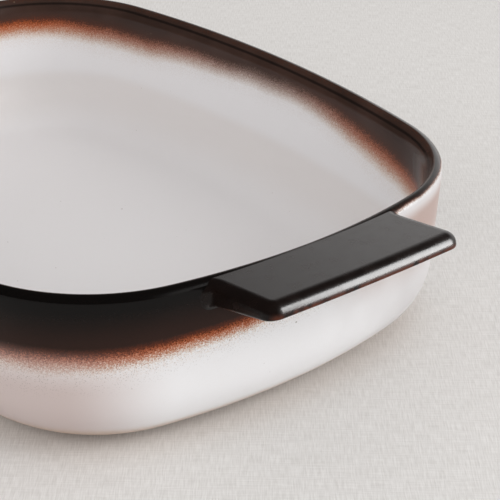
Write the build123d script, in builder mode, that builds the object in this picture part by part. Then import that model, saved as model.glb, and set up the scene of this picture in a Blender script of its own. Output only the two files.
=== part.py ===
from build123d import *
import math
import os

# Glazed stoneware lasagna dish, in millimetres
# The origin is the middle of the footprint, on the surface that the dish stands on.
# X runs through both handles, Z points up, and the photographed handle is at +X.

# Rim outline: four bowed sides that meet in large corners
rim_length = 322.4
rim_width = 242.0
end_bow = 19.1
side_bow = 19.2
corner_radius = 69.0

# Body
dish_height = 72.2
wall_at_rim = 6.6
outer_draft = 2.8
inner_draft = 3.6
base_radius = 29.0
inner_base_radius = 24.0
floor_thickness = 7.0
rim_edge_radius = 3.0
rim_inner_radius = 1.4
flare_width = 2.4
flare_draft = 27.0
flare_blend_radius = 8.0
mouth_reach_share = 2.0

# Foot ring
foot_height = 1.5
foot_width = 7.0
foot_margin = 3.0
foot_edge_chamfer = 0.6

# Handles: flat lugs that rise a little from the rim, thin at the nose and deep at the root
handle_width = 91.6
handle_reach = 31.5
handle_rise = 7.6
handle_hinge_offset = 0.5
nose_thickness = 6.0
root_thickness = 9.0
nose_bow = 1.3
nose_corner_radius = 5.6
lug_edge_radius = 4.7
root_radius = 5.0
root_depth = 0.25
under_edge_share = 0.9
seat_reach = 16.0

# Places that follow from the sizes above
rim_end = rim_length / 2
rim_side = rim_width / 2
corner_x = rim_end - end_bow
corner_y = rim_side - side_bow
end_radius = (corner_y**2 + end_bow**2) / (2 * end_bow)
side_radius = (corner_x**2 + side_bow**2) / (2 * side_bow)
nose_end = rim_end + handle_reach
nose_under_radius = under_edge_share * (nose_thickness - lug_edge_radius)
lug_start = corner_x
under_slope = (root_thickness - nose_thickness) / handle_reach
lug_start_thickness = nose_thickness + under_slope * (nose_end - lug_start)
body_height = dish_height - foot_height
draft_draw_in = body_height * math.tan(math.radians(outer_draft))
base_draw_in = draft_draw_in + base_radius * math.tan(math.radians((90 - outer_draft) / 2))
foot_inset = base_draw_in + foot_margin
nose_side_x = nose_end - nose_bow
flare_slope = math.tan(math.radians(flare_draft)) - math.tan(math.radians(inner_draft))
mouth_depth = mouth_reach_share * flare_width / flare_slope
edge_centre_x = rim_end - rim_edge_radius
edge_centre_z = dish_height - rim_edge_radius
level_draft = outer_draft + handle_rise
wall_from_centre = (rim_edge_radius - rim_edge_radius * math.tan(math.radians(outer_draft))) * (
    math.cos(math.radians(outer_draft))
)
level_reach = (wall_from_centre - root_depth) / math.cos(math.radians(level_draft))
level_inset = rim_edge_radius - level_reach - rim_edge_radius * math.tan(math.radians(level_draft))


def rim_outline(inset):
    """Closed face of the rim outline, drawn in by an inset: what four large circles share."""
    with BuildSketch() as outline:
        with Locations(Location((rim_end - end_radius, 0, 0), (0, 0, 180))):
            Circle(end_radius - inset)
        with Locations((end_radius - rim_end, 0)):
            Circle(end_radius - inset, mode=Mode.INTERSECT)
        with Locations((0, rim_side - side_radius)):
            Circle(side_radius - inset, mode=Mode.INTERSECT)
        with Locations((0, side_radius - rim_side)):
            Circle(side_radius - inset, mode=Mode.INTERSECT)
        fillet(outline.vertices(), radius=corner_radius - inset)
    return outline.sketch


def drafted_form(inset, top, depth, draft, bottom_radius):
    """Solid of the rim outline, drafted inwards as it goes down and rounded below."""
    with BuildPart() as form:
        with BuildSketch(Plane.XY.offset(top)):
            add(rim_outline(inset))
        extrude(amount=-depth, taper=draft)
        fillet(form.edges().group_by(Axis.Z)[0], radius=bottom_radius)
    return form.part


# Outside of the body with its rounded rim, which is what a handle seats against
with BuildPart() as rounded_form:
    add(drafted_form(0, dish_height, body_height, outer_draft, base_radius))
    fillet(rounded_form.edges().group_by(Axis.Z)[-1], radius=rim_edge_radius)

# Inside of the body: the hollow with its floor radius, which flares out under the rim
hollow = drafted_form(
    wall_at_rim, dish_height, body_height - floor_thickness, inner_draft, inner_base_radius
)
with BuildPart() as mouth:
    with BuildSketch(Plane.XY.offset(dish_height)):
        add(rim_outline(wall_at_rim - flare_width))
    extrude(amount=-mouth_depth, taper=flare_draft)
with BuildPart() as cavity:
    add(hollow)
    add(mouth.part)
    fillet(new_edges(hollow, mouth.part, combined=cavity.part), radius=flare_blend_radius)

# Body: the rounded outside, less the cavity
with BuildPart() as dish_body:
    add(rounded_form.part)
    add(cavity.part, mode=Mode.SUBTRACT)
    inner_rim_edges = dish_body.faces().sort_by(Axis.Z)[-1].inner_wires()[0].edges()
    fillet(inner_rim_edges, radius=rim_inner_radius)

# Lug: its plan, cut to a section that is deep at the wall and thin at the nose
with BuildPart() as lug:
    with BuildSketch(Plane.XY.offset(dish_height)) as lug_plan:
        with BuildLine():
            Polyline(
                (nose_side_x, handle_width / 2),
                (lug_start, handle_width / 2),
                (lug_start, -handle_width / 2),
                (nose_side_x, -handle_width / 2),
            )
            ThreePointArc(
                (nose_side_x, -handle_width / 2), (nose_end, 0), (nose_side_x, handle_width / 2)
            )
        make_face()
        fillet(lug_plan.vertices().group_by(Axis.X)[-1], radius=nose_corner_radius)
    extrude(amount=-lug_start_thickness)
    with BuildSketch(Plane.XZ) as lug_section:
        with BuildLine():
            Polyline(
                (lug_start, dish_height),
                (nose_end, dish_height),
                (nose_end, dish_height - nose_thickness),
                (lug_start, dish_height - lug_start_thickness),
                close=True,
            )
        make_face()
    extrude(amount=handle_width, both=True, mode=Mode.INTERSECT)
    underside = lug.faces().sort_by(Axis.Z)[0]
    under_edges = underside.edges().sort_by(Axis.X)[1:]
    fillet(under_edges, radius=nose_under_radius)

# Lug blended to a form that comes to lie just inside the wall once the handle is raised
root_form = drafted_form(level_inset, dish_height, body_height, level_draft, base_radius)
with BuildPart() as blended_form:
    add(root_form)
    add(lug.part)
    joint_edges = new_edges(root_form, lug.part, combined=blended_form.part)
    fillet(joint_edges, radius=root_radius)
    top_edges = blended_form.faces().sort_by(Axis.Z)[-1].outer_wire().edges()
    fillet(top_edges, radius=lug_edge_radius)

# Right handle: raised about a line beside the middle of the rim's rounding, and seated on the body
with BuildPart() as right_handle:
    hinge_axis = Axis((edge_centre_x + handle_hinge_offset, 0, edge_centre_z), (0, 1, 0))
    add(blended_form.part.rotate(hinge_axis, -handle_rise))
    with Locations((edge_centre_x - seat_reach, 0, dish_height)):
        Box(
            nose_end,
            handle_width + 2 * seat_reach,
            2 * seat_reach,
            align=(Align.MIN, Align.CENTER, Align.CENTER),
            mode=Mode.INTERSECT,
        )
    add(rounded_form.part, mode=Mode.SUBTRACT)

# Left handle: the same lug at the other end
with BuildPart() as left_handle:
    mirror(right_handle.part, about=Plane.YZ)

# Foot ring: bare clay, standing under the flat of the base
with BuildPart() as foot_ring:
    with BuildSketch(Plane.XY):
        add(rim_outline(foot_inset))
        add(rim_outline(foot_inset + foot_width), mode=Mode.SUBTRACT)
    extrude(amount=foot_height)
    chamfer(foot_ring.edges().group_by(Axis.Z)[0], length=foot_edge_chamfer)

pieces = {
    "dish_body": dish_body,
    "right_handle": right_handle,
    "left_handle": left_handle,
    "foot_ring": foot_ring,
}
os.makedirs("parts", exist_ok=True)
for name, piece in pieces.items():
    piece.part.label = name
    export_step(piece.part, f"parts/{name}.step")
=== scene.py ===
"""A glazed stoneware lasagna dish: dark rim glaze that fades through rust to white, on a pale cloth."""

import math

import bmesh
import bpy
from bpy.props import FloatProperty, FloatVectorProperty, IntProperty, PointerProperty
from mathutils import Matrix, Vector


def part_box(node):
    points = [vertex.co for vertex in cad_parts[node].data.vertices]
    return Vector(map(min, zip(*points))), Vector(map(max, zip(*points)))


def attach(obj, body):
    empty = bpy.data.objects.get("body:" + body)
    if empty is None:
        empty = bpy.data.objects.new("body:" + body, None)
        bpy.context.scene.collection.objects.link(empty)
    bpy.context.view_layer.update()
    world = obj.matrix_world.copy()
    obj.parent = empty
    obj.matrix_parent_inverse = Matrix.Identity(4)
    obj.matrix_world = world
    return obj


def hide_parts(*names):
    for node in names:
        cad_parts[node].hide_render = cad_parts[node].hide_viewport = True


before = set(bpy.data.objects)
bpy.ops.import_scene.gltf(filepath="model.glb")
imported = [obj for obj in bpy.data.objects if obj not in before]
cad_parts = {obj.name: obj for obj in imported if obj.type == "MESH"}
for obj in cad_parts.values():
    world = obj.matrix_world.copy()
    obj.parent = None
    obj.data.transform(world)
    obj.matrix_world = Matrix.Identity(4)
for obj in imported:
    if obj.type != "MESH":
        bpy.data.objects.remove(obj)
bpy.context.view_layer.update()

bl_info = {
    "name": "Lasagna Dish",
    "version": (1, 0, 0),
    "blender": (4, 5, 0),
    "location": "View3D > Sidebar > Dish",
    "description": "Models and glazes a stoneware lasagna dish around its measured frame",
    "category": "Object",
}

MM = 0.001
MERGE_DISTANCE = MM / 100

# Places that the measured frame gives
RIM_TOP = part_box("dish_body")[1].z
FOOT_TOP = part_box("foot_ring")[1].z
HANDLE_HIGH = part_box("right_handle")[1]
NOSE_END = HANDLE_HIGH.x
NOSE_TOP = HANDLE_HIGH.z

# Cuts across each long run of the wall's section
WALL_CUTS = 7

# Noise patterns, as cells per metre, detail and roughness
DRIFT = (30.0, 2.0, 0.5)
WANDER = (110.0, 3.0, 0.6)
GRAIN = (1700.0, 2.0, 0.8)
THIN_CLOUDS = (45.0, 3.0, 0.5)
BROKEN_PATCHES = (700.0, 3.0, 0.65)
SPECK_SIZES = (70.0, 1.0, 0.5)
RIPPLE = (60.0, 2.0, 0.5)
ORANGE_PEEL = (420.0, 2.0, 0.5)
STREAKS = (1500.0, 2.0, 0.5)
MOTTLE = (180.0, 2.0, 0.5)
CLAY_CLOUDS = (300.0, 4.0, 0.5)
GRIT = (1800.0, 3.0, 0.5)
WARP = (1900.0, 2.0, 0.6)
WEFT = (1300.0, 2.0, 0.6)

# Specks, as cells per metre
SPECK_CELLS = 240.0
FINE_SPECK_CELLS = 1300.0

# Bumps, as height and strength
RIPPLE_BUMP = (0.25 * MM, 0.5)
PEEL_BUMP = (0.03 * MM, 0.5)
STREAK_BUMP = (0.024 * MM, 0.5)
GRIT_BUMP = (0.1 * MM, 0.6)
THREAD_BUMP = (0.06 * MM, 0.4)

# Indices of refraction, low because the photographed blacks reflect little
BODY_IOR = 1.24
HANDLE_IOR = 1.27

# How far the drift and the wander move the edge of the rim glaze, and that of the toasted foot
DRIFT_STRAY = 4 * MM
WANDER_STRAY = 1.5 * MM
TOAST_STRAY = 4 * MM

# The spray of the rim glaze, by the reach below the fade's middle, where 1 is half the fade's width
SPRAY_EDGE = (-0.4, 2.6)
SCATTER_BAND = (-0.2, 0.6, 0.8, 3.6)

# Values that differ by side, as outside and inside: where along the reach the cover starts to thin
# and has gone, how strong the spray's grains are, and how much breaks and scatters
COVER_START = (-0.85, -2.0)
COVER_END = (1.3, 1.2)
SPRAY_GRAIN = (1.8, 0.6)
BROKEN_SHARE = (0.2, 0.5)
SCATTER_SHARE = (1.0, 0.3)

# How thickly the spray covers, and how strong the grains are in the fade and everywhere
SPRAY_COVER = 0.10
FADE_GRAIN = 1.1
GRAIN_EVERYWHERE = 0.06

# How much the outside's glaze thins above its fade, and over which share of its depth it does
THINNING = 0.14
THINNING_EDGE = (0.2, 0.95)

# Bands of depth below the rim's middle: where each starts, is whole, starts to end and has ended
RIM_EDGE_BAND = (0.2 * MM, 1.0 * MM, 1.8 * MM, 3.0 * MM)
TAN_BAND = (4 * MM, 11 * MM, 18 * MM, 44 * MM)
# The last band is where a pinkish painted shade lies along the floor's rounding
FLOOR_EDGE_SHADE_BAND = (38 * MM, 45 * MM, 50 * MM, 76 * MM)

# Bands along the rim, in shares of the way round, and how far the drift moves the one beyond the handle
BEYOND_HANDLE = (0.515, 0.575, 0.59, 0.68)
# The near side's band is where the pinkish painted shade lies
NEAR_SIDE = (0.10, 0.16, 0.38, 0.43)
CLOUD_DRIFT = 0.06

# Depths below the rim's middle over which a tone sets in: the near side's pink and painted shade, the
# toasted foot, and the painted shade of the inside towards the floor
PINK_SHADE_DEPTHS = (22 * MM, 42 * MM)
TOAST_DEPTHS = (60 * MM, 68 * MM)
FLOOR_SHADE_DEPTHS = (30 * MM, 62 * MM)

# Depth of the hollow under the rim where a dark line of painted shade lies, and how far from it that
# painted shade thins out
SHADED_HOLLOW_DEPTH = 3.9 * MM
SHADED_HOLLOW_EDGE = (0.2 * MM, 1.0 * MM)

# Places across the dish over which the glaze begins to break, and on the handle's nose over which brown
# broken glaze and a painted reflection of the cloth set in
FAR_SIDE = (-60 * MM, 20 * MM)
NOSE_EDGE = (NOSE_END - 4 * MM, NOSE_END - 0.5 * MM)
NOSE_UNDERSIDE = (NOSE_TOP - 5.5 * MM, NOSE_TOP - 2.5 * MM)

# Values of a pattern, or of the glaze's thickness or cover, over which a tone or a gloss sets in
THIN_CLOUD_EDGE = (0.35, 0.7)
INNER_DARK_EDGE = (0.5, 0.8)
BROKEN_EDGE = (0.40, 0.66)
SPECK_SIZE_EDGE = (0.55, 0.85)
FINE_SPECK_EDGE = (0.10, 0.34)
DARK_GLOSS_EDGE = (0.2, 0.9)
MOTTLE_TONE_EDGE = (0.3, 0.8)
MOTTLE_NOSE_BROWN_EDGE = (0.3, 0.55)
MOTTLE_GLOSS_EDGE = (0.25, 0.75)
CLAY_CLOUD_EDGE = (0.35, 0.7)
THREAD_EDGE = (0.35, 0.65)

# Sizes of the specks, in shares of a cell
SPECK_SIZE = 0.15
SPECK_CORE = 0.5
SPECK_SOFTNESS = 0.02

# Strengths of the colours that are laid over each other, the pairs as least and most
INNER_DARK_STRENGTH = (0.6, 0.9)
INNER_SHADE_STRENGTH = (0.5, 1.0)
HANDLE_THIN_STRENGTH = (0.10, 0.18)
SHADED_HOLLOW_STRENGTH = 0.7
TAN_STRENGTH = 0.9
TOAST_STRENGTH = 0.7
FLOOR_EDGE_SHADE_STRENGTH = 0.7
SPECK_STRENGTH = 0.6
FINE_SPECK_STRENGTH = 0.55
NOSE_BROWN_AND_REFLECTION_STRENGTH = 0.95

# Scale along the handle's streaks and the cloth's threads, next to the scale across them
STREAK_STRETCH = 0.35
THREAD_STRETCH = 0.07

# How much of the cloth's pattern is warp, and the rest is weft
WARP_SHARE = 0.65

# Roughness that the mottle adds on the handles, and that of the bare clay and of the cloth
MOTTLE_ROUGHNESS = 0.06
CLAY_ROUGHNESS = 0.85
CLOTH_ROUGHNESS = 0.95

# The room that gloss shows: the way to its bright back, and where that sets in and ends upwards
BEHIND = (0.25, 0.97)
BEHIND_EDGE = (0.1, 0.6)
UPPER_EDGE = (0.35, 0.75)
ROOM_COLOUR = (1.0, 0.975, 0.965)

# Lamps: place, the point that it faces, width and height, power, and the surfaces that see it
LAMPS = {
    "window": ((2.08, 1.57, 1.25), (0.1, 0.0, 0.06), (1.28, 1.76), 30.0, "matte"),
    "glint": ((1.21, 0.96, 0.53), (0.1, 0.0, 0.06), (0.7, 1.05), 93.0, "gloss"),
    "ceiling": ((0.9, 0.5, 1.8), (0.0, 0.0, 0.03), (2.4, 2.4), 8.0, "matte"),
    "fill": ((0.6, -1.6, 1.2), (0.0, 0.0, 0.03), (1.8, 1.2), 11.5, "matte"),
}

# The point that the camera faces
CAMERA_AIM = (0.086244, 0.032071, 0.030)


class Value:
    """A socket in a finish's nodes. Arithmetic on it adds Math nodes."""

    def __init__(self, finish, socket):
        self.finish = finish
        self.socket = socket

    def __add__(self, other):
        return self.finish.maths("ADD", self, other)

    __radd__ = __add__

    def __sub__(self, other):
        return self.finish.maths("SUBTRACT", self, other)

    def __rsub__(self, other):
        return self.finish.maths("SUBTRACT", other, self)

    def __mul__(self, other):
        return self.finish.maths("MULTIPLY", self, other)

    __rmul__ = __mul__

    def __truediv__(self, other):
        return self.finish.maths("DIVIDE", self, other)

    def __rtruediv__(self, other):
        return self.finish.maths("DIVIDE", other, self)

    def __lt__(self, other):
        return self.finish.maths("LESS_THAN", self, other)

    def __gt__(self, other):
        return self.finish.maths("GREATER_THAN", self, other)

    def __abs__(self):
        return self.finish.maths("ABSOLUTE", self)


class Finish:
    """The nodes of a material or of the world, with short ways to add to them."""

    def __init__(self, owner):
        self.owner = owner
        owner.use_nodes = True
        self.tree = owner.node_tree
        self.tree.nodes.clear()

    def node(self, kind, settings=None, sockets=None, output=0):
        """Adds one node: its settings first, then the values or links of its sockets."""
        made = self.tree.nodes.new(kind)
        for setting, value in (settings or {}).items():
            if setting == "stops":
                self.set_stops(made.color_ramp, value)
            else:
                setattr(made, setting, value)
        for name, value in (sockets or {}).items():
            if isinstance(value, Value):
                self.tree.links.new(value.socket, made.inputs[name])
            else:
                made.inputs[name].default_value = value
        return Value(self, made.outputs[output]) if made.outputs else None

    def set_stops(self, ramp, stops):
        """Gives a colour ramp its stops, as (place, colour) pairs."""
        for place, _ in stops[2:]:
            ramp.elements.new(place)
        for element, (place, tone) in zip(ramp.elements, stops):
            element.position = place
            element.color = colour(tone)

    def maths(self, operation, first, second=0.0):
        """A Math node on one or two numbers."""
        return self.node("ShaderNodeMath", {"operation": operation}, {0: first, 1: second})

    def between(self, value, low, high, smooth=True):
        """0 below low, 1 above high, and an even or smooth rise from one to the other."""
        return self.node(
            "ShaderNodeMapRange",
            {"interpolation_type": "SMOOTHSTEP" if smooth else "LINEAR", "clamp": True},
            {"Value": value, "From Min": low, "From Max": high},
        )

    def band(self, value, edges):
        """1 inside a band and 0 outside, with a smooth rise and a smooth fall at its edges."""
        start, whole, end_start, ended = edges
        return self.between(value, start, whole) * (1 - self.between(value, end_start, ended))

    def noise(self, place, pattern):
        """Cloudy noise of a pattern's scale, detail and roughness."""
        scale, detail, roughness = pattern
        return self.node(
            "ShaderNodeTexNoise",
            {"noise_dimensions": "3D"},
            {"Vector": place, "Scale": scale, "Detail": detail, "Roughness": roughness},
        )

    def cells(self, place, scale):
        """Distance from the middles of scattered cells."""
        return self.node(
            "ShaderNodeTexVoronoi",
            {"voronoi_dimensions": "3D", "feature": "F1"},
            {"Vector": place, "Scale": scale, "Randomness": 1.0},
        )

    def ramp(self, factor, stops, interpolation="LINEAR"):
        """A colour ramp through its stops."""
        made = self.node("ShaderNodeValToRGB", {"stops": stops}, {"Fac": factor})
        made.socket.node.color_ramp.interpolation = interpolation
        return made

    def mix(self, factor, first, second, blend="MIX"):
        """Mixes two colours."""
        return self.node(
            "ShaderNodeMix",
            {"data_type": "RGBA", "blend_type": blend},
            {0: factor, 6: first, 7: second},
            output=2,
        )

    def parts(self, vector):
        """The three parts of a vector or colour."""
        first = self.node("ShaderNodeSeparateXYZ", None, {0: vector})
        return [Value(self, socket) for socket in first.socket.node.outputs]

    def vector(self, x, y, z):
        """A vector of three parts."""
        return self.node("ShaderNodeCombineXYZ", None, {0: x, 1: y, 2: z})

    def place(self):
        """The object's own coordinates, which are the frame's."""
        return self.node("ShaderNodeTexCoord", output="Object")

    def bump(self, pattern, size, under=None):
        """A bump of a size's height and strength, over another bump where one is given."""
        height, strength = size
        sockets = {"Height": pattern, "Distance": height, "Strength": strength}
        if under:
            sockets["Normal"] = under
        return self.node("ShaderNodeBump", None, sockets)

    def surface(self, sockets):
        """Ends a material with a shader that has these sockets, and gives the material."""
        shader = self.node("ShaderNodeBsdfPrincipled", None, sockets)
        self.node("ShaderNodeOutputMaterial", None, {"Surface": shader})
        return self.owner


def colour(value):
    """A colour socket's four numbers, from a colour property."""
    return (*value, 1)


def stretch(share, low, high):
    """Spreads a share of 0 to 1 evenly over low to high."""
    return share * (high - low) + low


def rim_angle_share(finish, place, shape):
    """How far round the rim a point is: 0 and 1 at the left handle, a half at the right one."""
    x, y, _ = finish.parts(place)
    squeeze = shape.rim_length / shape.rim_width
    angle = finish.maths("ARCTAN2", y * squeeze, x)
    return angle / math.tau + 0.5


# Outside of the wall, from the left handle round the near side: fade depth, fade softness, rust
OUTSIDE_FADE_SHARES = (
    (0.00, (0.56, 0.45, 0.80)),
    (0.06, (0.58, 0.45, 0.85)),
    (0.12, (0.66, 0.66, 0.40)),
    (0.20, (0.62, 0.50, 0.75)),
    (0.28, (0.64, 0.58, 0.45)),
    (0.34, (0.68, 0.64, 0.75)),
    (0.375, (0.67, 0.60, 0.66)),
    (0.395, (0.645, 0.54, 0.85)),
    (0.415, (0.595, 0.50, 0.90)),
    (0.435, (0.56, 0.46, 1.00)),
    (0.47, (0.54, 0.44, 0.95)),
    (0.52, (0.50, 0.40, 0.80)),
    (0.542, (0.20, 0.25, 0.55)),
    (0.56, (0.06, 0.07, 0.15)),
    (0.60, (0.06, 0.07, 0.15)),
    (0.64, (0.08, 0.09, 0.20)),
    (0.67, (0.30, 0.30, 0.60)),
    (0.72, (0.54, 0.48, 0.85)),
    (0.82, (0.62, 0.62, 0.40)),
    (0.92, (0.56, 0.48, 0.75)),
    (1.00, (0.56, 0.45, 0.80)),
)

# Inside of the wall, the same way round
INSIDE_FADE_SHARES = (
    (0.00, (0.40, 0.60, 0.80)),
    (0.10, (0.46, 0.70, 0.50)),
    (0.20, (0.34, 0.60, 0.75)),
    (0.30, (0.30, 0.60, 0.20)),
    (0.38, (0.42, 0.65, 0.60)),
    (0.46, (0.38, 0.62, 0.85)),
    (0.54, (0.42, 0.62, 0.75)),
    (0.60, (0.57, 0.64, 0.65)),
    (0.64, (0.575, 0.72, 0.68)),
    (0.665, (0.485, 0.72, 0.68)),
    (0.69, (0.375, 0.66, 0.50)),
    (0.715, (0.315, 0.58, 0.22)),
    (0.74, (0.32, 0.54, 0.06)),
    (0.77, (0.345, 0.54, 0.06)),
    (0.795, (0.395, 0.56, 0.20)),
    (0.82, (0.44, 0.60, 0.36)),
    (0.845, (0.475, 0.62, 0.50)),
    (0.87, (0.465, 0.66, 0.55)),
    (0.90, (0.395, 0.55, 1.00)),
    (0.94, (0.375, 0.55, 1.00)),
    (1.00, (0.40, 0.60, 0.80)),
)


class RimGlaze:
    """How the dark rim glaze lies on the body: the values that the body's colours are made from."""

    def __init__(self, finish, shape, glaze):
        self.place = finish.place()
        along = finish.node("ShaderNodeAttribute", {"attribute_name": "below_rim"}, output="Fac")
        self.inside = along < 0.0
        self.outside = 1 - self.inside
        self.below = abs(along)
        self.share = rim_angle_share(finish, self.place, shape)
        outer = finish.parts(finish.ramp(self.share, OUTSIDE_FADE_SHARES, "B_SPLINE"))
        inner = finish.parts(finish.ramp(self.share, INSIDE_FADE_SHARES, "B_SPLINE"))
        depth, softness, self.rust = [self.sided(*pair) for pair in zip(outer, inner)]

        # Where the fade's middle lies, and how far below it a point is
        self.drift = finish.noise(self.place, DRIFT) - 0.5
        self.wander = finish.noise(self.place, WANDER) - 0.5
        middle = depth * glaze.fade_depth + self.drift * DRIFT_STRAY + self.wander * WANDER_STRAY
        self.reach = (self.below - middle) / (softness * glaze.fade_width)

        # How thick the dark glaze lies: whole near the rim, none past the fade, grains between
        cover_start = self.sided(*COVER_START)
        cover_end = self.sided(*COVER_END)
        self.cover = 1 - finish.between(self.reach, cover_start, cover_end, smooth=False)
        bare = 1 - self.cover
        spray = 1 - finish.between(self.reach, *SPRAY_EDGE)
        grain = finish.noise(self.place, GRAIN) - 0.5
        grain_share = spray * bare * self.sided(*SPRAY_GRAIN) + self.cover * bare * FADE_GRAIN
        thinning = self.outside * finish.between(self.below / middle, *THINNING_EDGE) * THINNING
        self.thick = (
            self.cover
            - thinning * self.cover
            + spray * SPRAY_COVER * bare
            + grain * (grain_share + GRAIN_EVERYWHERE)
        )

    def sided(self, outer, inner):
        """One value on the outside and another on the inside."""
        return stretch(self.inside, outer, inner)


def fade_tone(finish, glaze, rim):
    """From the white glaze to the dark one, through rust in places and through grey in others."""
    rusty_stops = (
        (0.0, glaze.white_colour),
        (0.16, glaze.blush_colour),
        (0.34, glaze.pale_rust_colour),
        (0.50, glaze.rust_colour),
        (0.66, glaze.brown_colour),
        (0.84, glaze.thin_dark_colour),
        (1.0, glaze.dark_colour),
    )
    dull_stops = (
        (0.0, glaze.white_colour),
        (0.16, glaze.haze_colour),
        (0.34, glaze.pale_dull_colour),
        (0.50, glaze.dull_colour),
        (0.70, glaze.thin_dark_colour),
        (1.0, glaze.dark_colour),
    )
    dull = finish.ramp(rim.thick, dull_stops)
    return finish.mix(rim.rust, dull, finish.ramp(rim.thick, rusty_stops))


def add_dark_tones(finish, glaze, rim, tone):
    """The dark glaze: browner inside, with painted shade in the hollow under the rim, broken on the
    rim's edge.
    """
    clouds = finish.between(finish.noise(rim.place, THIN_CLOUDS), *THIN_CLOUD_EDGE)
    thinner = rim.inside * finish.between(rim.thick, *INNER_DARK_EDGE)
    thinner = thinner * stretch(clouds, *INNER_DARK_STRENGTH)
    tone = finish.mix(thinner, tone, colour(glaze.inner_dark_colour))
    # Painted shade: a thin dark line on the inside, just under the rim's inner edge
    hollow_shade = rim.inside * (1 - finish.between(abs(rim.below - SHADED_HOLLOW_DEPTH), *SHADED_HOLLOW_EDGE))
    tone = finish.mix(hollow_shade * SHADED_HOLLOW_STRENGTH, tone, colour(glaze.dark_colour))
    far_side = finish.between(finish.parts(rim.place)[1], *FAR_SIDE)
    patches = finish.between(finish.noise(rim.place, BROKEN_PATCHES), *BROKEN_EDGE)
    broken = finish.band(rim.below, RIM_EDGE_BAND) * far_side * patches
    return finish.mix(broken * rim.sided(*BROKEN_SHARE), tone, colour(glaze.break_colour))


def add_outside_tones(finish, glaze, rim, tone):
    """Grey and tan beyond the right handle, pink and painted shade low on the near side, toasted towards
    the foot.
    """
    beyond = rim.outside * finish.band(rim.share + rim.drift * CLOUD_DRIFT, BEYOND_HANDLE)
    tone = finish.mix(beyond, tone, colour(glaze.grey_cloud_colour), "MULTIPLY")
    tan = beyond * finish.band(rim.below, TAN_BAND)
    tone = finish.mix(tan * TAN_STRENGTH, tone, colour(glaze.tan_colour))
    # Painted shade: the near side's lower wall is darkened with a pinkish tone, where less light falls
    # on it
    pink_shade = rim.outside * finish.band(rim.share, NEAR_SIDE) * finish.between(rim.below, *PINK_SHADE_DEPTHS)
    tone = finish.mix(pink_shade, tone, colour(glaze.pink_shade_colour))
    toasted = rim.outside * finish.between(rim.below + rim.wander * TOAST_STRAY, *TOAST_DEPTHS)
    return finish.mix(toasted * TOAST_STRENGTH, tone, colour(glaze.toasted_edge_colour))


def add_inside_tones(finish, glaze, rim, tone):
    """The white inside: darkened by painted shade, most on the floor, with a pinkish band of painted
    shade where the wall rounds into the floor.
    """
    on_floor = finish.between(rim.below, *FLOOR_SHADE_DEPTHS)
    # Painted shade: the inside is darkened, most of all on the floor
    inner_shade = rim.inside * stretch(on_floor, *INNER_SHADE_STRENGTH)
    tone = finish.mix(inner_shade, tone, colour(glaze.inner_shade_colour), "MULTIPLY")
    # Painted shade: a pinkish darker band where the wall rounds into the floor
    floor_edge_shade = rim.inside * finish.band(rim.below, FLOOR_EDGE_SHADE_BAND)
    return finish.mix(floor_edge_shade * FLOOR_EDGE_SHADE_STRENGTH, tone, colour(glaze.floor_edge_shade_colour), "MULTIPLY")


def add_specks(finish, glaze, rim, tone):
    """Dark specks fired through the white, and finer ones scattered below the fade."""
    size = finish.between(finish.noise(rim.place, SPECK_SIZES), *SPECK_SIZE_EDGE) * SPECK_SIZE
    cells = finish.cells(rim.place, SPECK_CELLS)
    specks = 1 - finish.between(cells, size * SPECK_CORE, size + SPECK_SOFTNESS)
    tone = finish.mix(specks * SPECK_STRENGTH, tone, colour(glaze.speck_colour))
    fine_specks = 1 - finish.between(finish.cells(rim.place, FINE_SPECK_CELLS), *FINE_SPECK_EDGE)
    scattered = fine_specks * rim.sided(*SCATTER_SHARE) * finish.band(rim.reach, SCATTER_BAND)
    return finish.mix(scattered * FINE_SPECK_STRENGTH, tone, colour(glaze.speck_colour))


def body_glaze(shape, glaze):
    """White glaze under a dark rim glaze, sprayed on so that it thins to rust and single grains."""
    finish = Finish(bpy.data.materials.new("body_glaze"))
    rim = RimGlaze(finish, shape, glaze)
    tone = fade_tone(finish, glaze, rim)
    for add_tones in (add_dark_tones, add_outside_tones, add_inside_tones, add_specks):
        tone = add_tones(finish, glaze, rim, tone)
    normal = finish.bump(finish.noise(rim.place, RIPPLE), RIPPLE_BUMP)
    normal = finish.bump(finish.noise(rim.place, ORANGE_PEEL), PEEL_BUMP, normal)
    dark = finish.between(rim.cover, *DARK_GLOSS_EDGE)
    return finish.surface(
        {
            "Base Color": tone,
            "Roughness": stretch(dark, glaze.white_roughness, glaze.dark_roughness),
            "Normal": normal,
            "IOR": BODY_IOR,
        }
    )


def handle_glaze(glaze):
    """Satin near-black glaze with fine streaks, which turns brown under the nose: broken glaze together
    with a painted reflection of the cloth.
    """
    finish = Finish(bpy.data.materials.new("handle_glaze"))
    place = finish.place()
    x, y, z = finish.parts(place)
    streaks = finish.noise(finish.vector(x * STREAK_STRETCH, y, z), STREAKS)
    mottle = finish.noise(place, MOTTLE)
    thin = stretch(finish.between(mottle, *MOTTLE_TONE_EDGE), *HANDLE_THIN_STRENGTH)
    tone = finish.mix(thin, colour(glaze.dark_colour), colour(glaze.thin_dark_colour))
    # Under the nose, the brown stands for broken glaze and for a painted reflection of the cloth
    nose = finish.between(abs(x), *NOSE_EDGE)
    under = 1 - finish.between(z, *NOSE_UNDERSIDE)
    broken = nose * under * finish.between(mottle, *MOTTLE_NOSE_BROWN_EDGE)
    tone = finish.mix(broken * NOSE_BROWN_AND_REFLECTION_STRENGTH, tone, colour(glaze.brown_colour))
    dull = finish.between(mottle, *MOTTLE_GLOSS_EDGE)
    return finish.surface(
        {
            "Base Color": tone,
            "Roughness": dull * MOTTLE_ROUGHNESS + glaze.handle_roughness,
            "Normal": finish.bump(streaks, STREAK_BUMP),
            "IOR": HANDLE_IOR,
        }
    )


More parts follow.
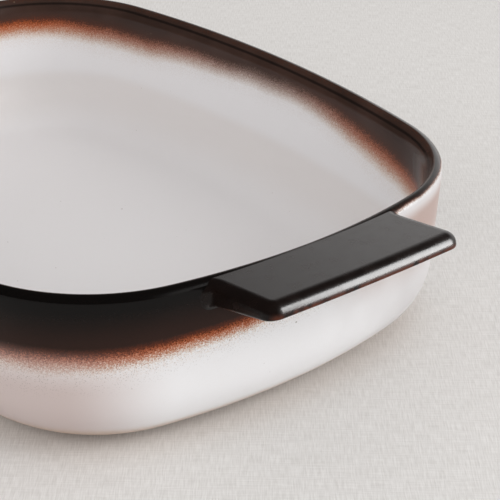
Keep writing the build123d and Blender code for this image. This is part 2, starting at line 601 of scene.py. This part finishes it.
def bare_clay(glaze):
    """Unglazed fired clay, toasted in patches, with a fine grit."""
    finish = Finish(bpy.data.materials.new("bare_clay"))
    place = finish.place()
    toasted = finish.between(finish.noise(place, CLAY_CLOUDS), *CLAY_CLOUD_EDGE)
    tone = finish.mix(toasted, colour(glaze.clay_colour), colour(glaze.toasted_clay_colour))
    return finish.surface(
        {
            "Base Color": tone,
            "Roughness": CLAY_ROUGHNESS,
            "Normal": finish.bump(finish.noise(place, GRIT), GRIT_BUMP),
        }
    )


def table_cloth(stage):
    """Pale linen: fine uneven threads both ways, those that run away from the camera the plainer."""
    finish = Finish(bpy.data.materials.new("table_cloth"))
    x, y, _ = finish.parts(finish.place())
    turn = stage.camera_azimuth
    across = x * math.cos(turn) + y * math.sin(turn)
    away = y * math.cos(turn) - x * math.sin(turn)
    warp = finish.noise(finish.vector(across, away * THREAD_STRETCH, 0.0), WARP)
    weft = finish.noise(finish.vector(across * THREAD_STRETCH, away, 0.0), WEFT)
    threads = warp * WARP_SHARE + weft * (1 - WARP_SHARE)
    raised = finish.between(threads, *THREAD_EDGE, smooth=False)
    return finish.surface(
        {
            "Base Color": finish.mix(raised, colour(stage.cloth_shade), colour(stage.cloth_colour)),
            "Roughness": CLOTH_ROUGHNESS,
            "Normal": finish.bump(threads, THREAD_BUMP),
            "Specular IOR Level": 0.0,
        }
    )


def circle_meeting(centre_a, radius_a, centre_b, radius_b):
    """The meeting point of two circles that has positive x and y."""
    between = centre_b - centre_a
    distance = between.length
    along = (distance**2 + radius_a**2 - radius_b**2) / (2 * distance)
    aside = math.sqrt(radius_a**2 - along**2)
    unit = between / distance
    points = [centre_a + unit * along + Vector((-unit.y, unit.x)) * side for side in (aside, -aside)]
    return max(points, key=lambda point: min(point.x, point.y))


def rim_centres(shape):
    """Centres of the end's, the corner's and the side's arcs, with the two angles that part them."""
    rim_end = shape.rim_length / 2
    rim_side = shape.rim_width / 2
    corner_x = rim_end - shape.end_bow
    corner_y = rim_side - shape.side_bow
    end_radius = (corner_y**2 + shape.end_bow**2) / (2 * shape.end_bow)
    side_radius = (corner_x**2 + shape.side_bow**2) / (2 * shape.side_bow)
    end_centre = Vector((rim_end - end_radius, 0))
    side_centre = Vector((0, rim_side - side_radius))
    corner_centre = circle_meeting(
        end_centre, end_radius - shape.corner_radius, side_centre, side_radius - shape.corner_radius
    )
    to_corner = corner_centre - end_centre
    from_side = corner_centre - side_centre
    end_angle = math.atan2(to_corner.y, to_corner.x)
    corner_angle = math.atan2(from_side.y, from_side.x)
    return end_centre, corner_centre, side_centre, end_angle, corner_angle


def wall_section(mesh, shape):
    """The wall's section at the middle of the right end, as a wire of rounded corners."""
    rim_end = shape.rim_length / 2
    outer_lean = math.tan(shape.outer_draft)
    inner_lean = math.tan(shape.inner_draft)
    floor_top = FOOT_TOP + shape.floor_thickness
    outer_foot = (RIM_TOP - FOOT_TOP) * outer_lean
    inner_foot = shape.wall_at_rim + (RIM_TOP - floor_top) * inner_lean
    flare_depth = shape.flare_width / (math.tan(shape.flare_draft) - inner_lean)
    flare_foot = shape.wall_at_rim + flare_depth * inner_lean
    flare_turn = shape.flare_draft - shape.inner_draft
    land_end = shape.wall_at_rim - shape.flare_width
    quarter = math.pi / 2

    # Each corner's inset and height, its rounding's radius and turn, and the steps of the rounding
    corners = (
        (shape.floor_reach, FOOT_TOP, 0.0, 0.0, 0),
        (outer_foot, FOOT_TOP, shape.base_radius, quarter - shape.outer_draft, 10),
        (0.0, RIM_TOP, shape.rim_edge_radius, quarter + shape.outer_draft, 8),
        (land_end, RIM_TOP, shape.rim_inner_radius, quarter - shape.flare_draft, 6),
        (flare_foot, RIM_TOP - flare_depth, shape.flare_blend_radius, flare_turn, 6),
        (inner_foot, floor_top, shape.inner_base_radius, quarter - shape.inner_draft, 12),
        (shape.floor_reach, floor_top, 0.0, 0.0, 0),
    )
    verts = [mesh.verts.new((rim_end - inset, 0, height)) for inset, height, _, _, _ in corners]
    for vert, after in zip(verts, verts[1:]):
        mesh.edges.new((vert, after))
    for vert, (_, _, radius, turn, segments) in zip(verts, corners):
        if radius:
            bmesh.ops.bevel(
                mesh,
                geom=[vert],
                offset=radius * math.tan(turn / 2),
                offset_type="OFFSET",
                segments=segments,
                profile=0.5,
                affect="VERTICES",
                material=-1,
            )

    # The long runs between the roundings are divided, so that they carry the depth evenly
    long_runs = [edge for edge in mesh.edges if edge.calc_length() > shape.rim_edge_radius * 4]
    bmesh.ops.subdivide_edges(mesh, edges=long_runs, cuts=WALL_CUTS)
    return walk_section(mesh)


def walk_section(mesh):
    """The section's points in order, from the underside over the rim to the floor."""
    ends = [vert for vert in mesh.verts if len(vert.link_edges) == 1]
    vert = min(ends, key=lambda end: end.co.z)
    edge = vert.link_edges[0]
    walked = [vert]
    while edge:
        vert = edge.other_vert(vert)
        walked.append(vert)
        onward = [link for link in vert.link_edges if link != edge]
        edge = onward[0] if onward else None
    return walked


def mark_below_rim(mesh, walked):
    """Notes each point's distance along the section from the rim's middle, outside as positive."""
    layer = mesh.verts.layers.float["below_rim"]
    travelled = [0.0]
    for vert, after in zip(walked, walked[1:]):
        travelled.append(travelled[-1] + (after.co - vert.co).length)
    top = RIM_TOP - MERGE_DISTANCE
    land = [distance for vert, distance in zip(walked, travelled) if vert.co.z > top]
    middle = (land[0] + land[-1]) / 2
    for vert, distance in zip(walked, travelled):
        vert[layer] = middle - distance


def sweep(mesh, geometry, centre, angle, steps):
    """Spins the section about an upright axis and gives its last copy."""
    made = bmesh.ops.spin(
        mesh,
        geom=geometry,
        cent=(centre.x, centre.y, 0),
        axis=(0, 0, 1),
        dvec=(0, 0, 0),
        angle=angle,
        steps=steps,
    )
    return made["geom_last"]


def finish_piece(mesh, name, node, material):
    """Turns a bmesh into a shaded piece that stands for its node."""
    bmesh.ops.recalc_face_normals(mesh, faces=mesh.faces)
    data = bpy.data.meshes.new(name)
    mesh.to_mesh(data)
    mesh.free()
    data.shade_smooth()
    data.materials.append(material)
    piece = bpy.data.objects.new(name, data)
    bpy.context.scene.collection.objects.link(piece)
    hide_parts(node)
    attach(piece, "root")


def dress_node(name, material):
    """Gives a solid of the frame its material."""
    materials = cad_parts[name].data.materials
    materials.clear()
    materials.append(material)


class DishShape(bpy.types.PropertyGroup):
    """Sizes of the dish."""

    rim_length: FloatProperty(
        name="Rim length", description="Length of the rim", default=0.3224, unit="LENGTH"
    )
    rim_width: FloatProperty(
        name="Rim width", description="Width of the rim", default=0.242, unit="LENGTH"
    )
    end_bow: FloatProperty(
        name="End bow", description="How far each end bows out", default=0.0191, unit="LENGTH"
    )
    side_bow: FloatProperty(
        name="Side bow", description="How far each side bows out", default=0.0192, unit="LENGTH"
    )
    corner_radius: FloatProperty(
        name="Corner radius", description="Radius of the corners", default=0.069, unit="LENGTH"
    )
    wall_at_rim: FloatProperty(
        name="Wall at the rim",
        description="Thickness of the wall, carried up to the rim",
        default=0.0066,
        unit="LENGTH",
    )
    outer_draft: FloatProperty(
        name="Outer draft",
        description="Lean of the wall's outside",
        default=math.radians(2.8),
        unit="ROTATION",
    )
    inner_draft: FloatProperty(
        name="Inner draft",
        description="Lean of the wall's inside",
        default=math.radians(3.6),
        unit="ROTATION",
    )
    base_radius: FloatProperty(
        name="Base radius", description="Rounding under the wall", default=0.029, unit="LENGTH"
    )
    inner_base_radius: FloatProperty(
        name="Inner base radius",
        description="Rounding where the floor meets the wall",
        default=0.024,
        unit="LENGTH",
    )
    floor_thickness: FloatProperty(
        name="Floor thickness", description="Thickness of the floor", default=0.007, unit="LENGTH"
    )
    rim_edge_radius: FloatProperty(
        name="Rim edge radius", description="Rounding outside the rim", default=0.003, unit="LENGTH"
    )
    rim_inner_radius: FloatProperty(
        name="Rim inner radius", description="Rounding inside the rim", default=0.0014, unit="LENGTH"
    )
    flare_width: FloatProperty(
        name="Flare width",
        description="How far the inside leans out towards the rim",
        default=0.0024,
        unit="LENGTH",
    )
    flare_draft: FloatProperty(
        name="Flare draft",
        description="Lean of the inside just under the rim",
        default=math.radians(27),
        unit="ROTATION",
    )
    flare_blend_radius: FloatProperty(
        name="Flare blend radius",
        description="Rounding between the flare and the wall",
        default=0.008,
        unit="LENGTH",
    )
    floor_reach: FloatProperty(
        name="Floor reach",
        description="How far the swept floor goes in from the rim",
        default=0.055,
        unit="LENGTH",
    )
    end_steps: IntProperty(name="End steps", description="Steps along half an end", default=20)
    corner_steps: IntProperty(name="Corner steps", description="Steps round a corner", default=30)
    side_steps: IntProperty(name="Side steps", description="Steps along half a side", default=28)


class DishGlaze(bpy.types.PropertyGroup):
    """Colours and spread of the glazes."""

    dark_colour: FloatVectorProperty(
        name="Dark glaze", description="Rim glaze where it lies thick",
        default=(0.0032, 0.0027, 0.0025), subtype="COLOR",
    )
    thin_dark_colour: FloatVectorProperty(
        name="Thin dark glaze", description="Rim glaze where it begins to thin",
        default=(0.033, 0.014, 0.0095), subtype="COLOR",
    )
    inner_dark_colour: FloatVectorProperty(
        name="Inner dark glaze", description="Rim glaze on the inside, where it lies thinner",
        default=(0.064, 0.037, 0.029), subtype="COLOR",
    )
    break_colour: FloatVectorProperty(
        name="Broken glaze", description="Rim glaze drawn thin on an edge",
        default=(0.075, 0.026, 0.014), subtype="COLOR",
    )
    brown_colour: FloatVectorProperty(
        name="Brown glaze", description="Rim glaze between the dark and the rust",
        default=(0.12, 0.028, 0.011), subtype="COLOR",
    )
    rust_colour: FloatVectorProperty(
        name="Rust", description="Rim glaze at its thin edge",
        default=(0.43, 0.100, 0.030), subtype="COLOR",
    )
    pale_rust_colour: FloatVectorProperty(
        name="Pale rust", description="Rust grains thinly over the white",
        default=(0.53, 0.27, 0.17), subtype="COLOR",
    )
    blush_colour: FloatVectorProperty(
        name="Blush", description="The last trace of rust in the white",
        default=(0.76, 0.67, 0.61), subtype="COLOR",
    )
    dull_colour: FloatVectorProperty(
        name="Dull glaze", description="Thin edge of the rim glaze where it stays grey",
        default=(0.20, 0.145, 0.125), subtype="COLOR",
    )
    pale_dull_colour: FloatVectorProperty(
        name="Pale dull glaze", description="Grey grains thinly over the white",
        default=(0.47, 0.385, 0.35), subtype="COLOR",
    )
    haze_colour: FloatVectorProperty(
        name="Haze", description="The last trace of grey in the white",
        default=(0.72, 0.68, 0.66), subtype="COLOR",
    )
    white_colour: FloatVectorProperty(
        name="White glaze", description="The glaze under it all",
        default=(0.89, 0.89, 0.905), subtype="COLOR",
    )
    grey_cloud_colour: FloatVectorProperty(
        name="Grey cloud", description="Tint of the white beyond the right handle",
        default=(0.80, 0.785, 0.78), subtype="COLOR",
    )
    tan_colour: FloatVectorProperty(
        name="Tan cloud", description="Tan in the white beyond the right handle",
        default=(0.475, 0.34, 0.30), subtype="COLOR",
    )
    # Pinkish painted shade on the near side's lower wall
    pink_shade_colour: FloatVectorProperty(
        name="Pinkish shade", description="Pinkish painted shade in the white on the near side",
        default=(0.61, 0.52, 0.50), subtype="COLOR",
    )
    toasted_edge_colour: FloatVectorProperty(
        name="Toasted edge", description="The white glaze drawn thin over the clay by the foot",
        default=(0.58, 0.42, 0.31), subtype="COLOR",
    )
    # Painted shade on the inside, most on the floor
    inner_shade_colour: FloatVectorProperty(
        name="Inner shade", description="Painted shade on the white inside, most on the floor of the dish",
        default=(0.845, 0.832, 0.824), subtype="COLOR",
    )
    # Pinkish painted shade along the floor's rounding
    floor_edge_shade_colour: FloatVectorProperty(
        name="Floor edge shade", description="Pinkish painted shade where the wall rounds into the floor",
        default=(0.93, 0.90, 0.875), subtype="COLOR",
    )
    speck_colour: FloatVectorProperty(
        name="Specks", description="Iron specks in the white",
        default=(0.16, 0.11, 0.08), subtype="COLOR",
    )
    clay_colour: FloatVectorProperty(
        name="Bare clay", description="Unglazed clay",
        default=(0.52, 0.40, 0.29), subtype="COLOR",
    )
    toasted_clay_colour: FloatVectorProperty(
        name="Toasted clay", description="Unglazed clay where the fire darkened it",
        default=(0.40, 0.26, 0.16), subtype="COLOR",
    )
    fade_depth: FloatProperty(
        name="Fade depth", description="Depth of the deepest rim band", default=0.042, unit="LENGTH"
    )
    fade_width: FloatProperty(
        name="Fade width", description="Half width of the softest fade", default=0.0095, unit="LENGTH"
    )
    handle_roughness: FloatProperty(
        name="Handle roughness", description="Roughness of the satin handles", default=0.22
    )
    dark_roughness: FloatProperty(
        name="Dark roughness", description="Roughness of the rim glaze", default=0.16
    )
    white_roughness: FloatProperty(
        name="White roughness", description="Roughness of the white glaze", default=0.34
    )


class DishStage(bpy.types.PropertyGroup):
    """Floor, light and camera."""

    cloth_colour: FloatVectorProperty(
        name="Cloth", description="Colour of the cloth", default=(0.81, 0.80, 0.785), subtype="COLOR"
    )
    cloth_shade: FloatVectorProperty(
        name="Cloth shade", description="Darker threads", default=(0.665, 0.65, 0.63), subtype="COLOR"
    )
    room_back: FloatProperty(
        name="Room behind", description="How bright gloss shows the room behind", default=1.7
    )
    room_rest: FloatProperty(
        name="Rest of the room", description="How bright gloss shows the room elsewhere", default=0.05
    )
    room_light: FloatProperty(
        name="Room light", description="Even light of the room on matte surfaces", default=0.57
    )
    floor_size: FloatProperty(
        name="Floor size", description="Width of the floor", default=12.0, unit="LENGTH"
    )
    camera_distance: FloatProperty(
        name="Camera distance", description="From the aim to the camera", default=0.631477, unit="LENGTH"
    )
    camera_azimuth: FloatProperty(
        name="Camera azimuth", description="Bearing of the camera",
        default=math.radians(50.3292), unit="ROTATION",
    )
    camera_elevation: FloatProperty(
        name="Camera elevation", description="Height of the camera as an angle",
        default=math.radians(27.5751), unit="ROTATION",
    )
    camera_roll: FloatProperty(
        name="Camera roll", description="Turn about the view", default=math.radians(0.69136),
        unit="ROTATION",
    )
    camera_lens: FloatProperty(
        name="Lens", description="Focal length in millimetres, on a 36 mm sensor", default=107.745
    )


class DISH_OT_body(bpy.types.Operator):
    """Sweeps the wall's section round the rim and closes the floor"""

    bl_idname = "dish.body"
    bl_label = "Dish body"

    def execute(self, context):
        shape = context.scene.dish_shape
        mesh = bmesh.new()
        mesh.verts.layers.float.new("below_rim")
        walked = wall_section(mesh, shape)
        mark_below_rim(mesh, walked)
        end_centre, corner_centre, side_centre, end_angle, corner_angle = rim_centres(shape)
        section = mesh.verts[:] + mesh.edges[:]
        section = sweep(mesh, section, end_centre, end_angle, shape.end_steps)
        section = sweep(mesh, section, corner_centre, corner_angle - end_angle, shape.corner_steps)
        sweep(mesh, section, side_centre, math.pi / 2 - corner_angle, shape.side_steps)
        for axis in ("X", "Y"):
            everything = mesh.verts[:] + mesh.edges[:] + mesh.faces[:]
            bmesh.ops.mirror(mesh, geom=everything, merge_dist=MERGE_DISTANCE, axis=axis)
        bmesh.ops.remove_doubles(mesh, verts=mesh.verts, dist=MERGE_DISTANCE)
        bmesh.ops.holes_fill(mesh, edges=mesh.edges[:], sides=0)
        if any(edge.is_boundary for edge in mesh.edges):
            raise RuntimeError("the dish body isn't closed")
        material = body_glaze(shape, context.scene.dish_glaze)
        finish_piece(mesh, "dish_body_glazed", "dish_body", material)
        return {"FINISHED"}


class DISH_OT_handles(bpy.types.Operator):
    """Glazes the two lug handles"""

    bl_idname = "dish.handles"
    bl_label = "Handles"

    def execute(self, context):
        material = handle_glaze(context.scene.dish_glaze)
        for name in ("right_handle", "left_handle"):
            dress_node(name, material)
        return {"FINISHED"}


class DISH_OT_foot(bpy.types.Operator):
    """Leaves the foot ring as bare clay"""

    bl_idname = "dish.foot"
    bl_label = "Foot ring"

    def execute(self, context):
        dress_node("foot_ring", bare_clay(context.scene.dish_glaze))
        return {"FINISHED"}


def add_lamp(name, place, aim, size, power, seen_by):
    """A soft lamp that points at its aim, and that only matte or only glossy surfaces see."""
    data = bpy.data.lights.new(name, "AREA")
    data.shape = "RECTANGLE"
    data.size, data.size_y = size
    data.energy = power
    lamp = bpy.data.objects.new(name, data)
    bpy.context.scene.collection.objects.link(lamp)
    lamp.location = place
    lamp.rotation_mode = "QUATERNION"
    lamp.rotation_quaternion = (Vector(aim) - Vector(place)).to_track_quat("-Z", "Y")
    lamp.visible_glossy = seen_by == "gloss"
    lamp.visible_diffuse = seen_by == "matte"


def add_floor(stage):
    """A table top with a cloth on it, wide enough to fill the view."""
    mesh = bmesh.new()
    bmesh.ops.create_grid(mesh, x_segments=1, y_segments=1, size=stage.floor_size / 2)
    data = bpy.data.meshes.new("table_top")
    mesh.to_mesh(data)
    mesh.free()
    data.materials.append(table_cloth(stage))
    floor = bpy.data.objects.new("table_top", data)
    bpy.context.scene.collection.objects.link(floor)


def add_world(stage):
    """A room that gloss shows as bright behind the dish, and dim above and before it."""
    finish = Finish(bpy.data.worlds.new("studio"))
    x, y, z = finish.parts(finish.node("ShaderNodeTexCoord", output="Generated"))
    behind = finish.between(x * BEHIND[0] + y * BEHIND[1], *BEHIND_EDGE)
    low = 1 - finish.between(z, *UPPER_EDGE)
    in_gloss = finish.node("ShaderNodeLightPath", output="Is Glossy Ray")
    seen = behind * low * stage.room_back + stage.room_rest
    strength = in_gloss * (seen - stage.room_light) + stage.room_light
    light = finish.node(
        "ShaderNodeBackground", None, {"Color": colour(ROOM_COLOUR), "Strength": strength}
    )
    finish.node("ShaderNodeOutputWorld", None, {"Surface": light})
    bpy.context.scene.world = finish.owner


def add_camera(stage):
    """The photograph's view, as an orbit round an aim with a small roll."""
    azimuth = stage.camera_azimuth
    elevation = stage.camera_elevation
    roll = stage.camera_roll
    back = Vector(
        (
            math.sin(azimuth) * math.cos(elevation),
            -math.cos(azimuth) * math.cos(elevation),
            math.sin(elevation),
        )
    )
    level = Vector((math.cos(azimuth), math.sin(azimuth), 0))
    upright = back.cross(level)
    right = level * math.cos(roll) + upright * math.sin(roll)
    up = upright * math.cos(roll) - level * math.sin(roll)
    turn = Matrix((right, up, back)).transposed().to_4x4()
    place = Vector(CAMERA_AIM) + back * stage.camera_distance
    data = bpy.data.cameras.new("camera")
    data.lens = stage.camera_lens
    camera = bpy.data.objects.new("camera", data)
    bpy.context.scene.collection.objects.link(camera)
    camera.matrix_world = Matrix.Translation(place) @ turn
    bpy.context.scene.camera = camera


class DISH_OT_stage(bpy.types.Operator):
    """Lays the cloth and sets the light and the camera"""

    bl_idname = "dish.stage"
    bl_label = "Stage"

    def execute(self, context):
        stage = context.scene.dish_stage
        context.scene.view_settings.view_transform = "Standard"
        add_floor(stage)
        add_world(stage)
        add_camera(stage)
        for name, lamp in LAMPS.items():
            add_lamp(name, *lamp)
        return {"FINISHED"}


class DISH_PT_panel(bpy.types.Panel):
    """Lists the dish's sizes, glazes and operators"""

    bl_idname = "DISH_PT_panel"
    bl_label = "Lasagna Dish"
    bl_space_type = "VIEW_3D"
    bl_region_type = "UI"
    bl_category = "Dish"

    def draw(self, context):
        layout = self.layout
        for group in (context.scene.dish_shape, context.scene.dish_glaze, context.scene.dish_stage):
            for name in group.__annotations__:
                layout.prop(group, name)
        for operator in OPERATORS:
            layout.operator(operator.bl_idname)


GROUPS = {"dish_shape": DishShape, "dish_glaze": DishGlaze, "dish_stage": DishStage}
OPERATORS = (DISH_OT_body, DISH_OT_handles, DISH_OT_foot, DISH_OT_stage)
CLASSES = (*GROUPS.values(), *OPERATORS, DISH_PT_panel)


def register():
    for made in CLASSES:
        bpy.utils.register_class(made)
    for name, group in GROUPS.items():
        setattr(bpy.types.Scene, name, PointerProperty(type=group))


def unregister():
    for name in GROUPS:
        delattr(bpy.types.Scene, name)
    for made in reversed(CLASSES):
        bpy.utils.unregister_class(made)


def main():
    register()
    bpy.ops.dish.body()
    bpy.ops.dish.handles()
    bpy.ops.dish.foot()
    bpy.ops.dish.stage()


if __name__ == "__main__":
    main()
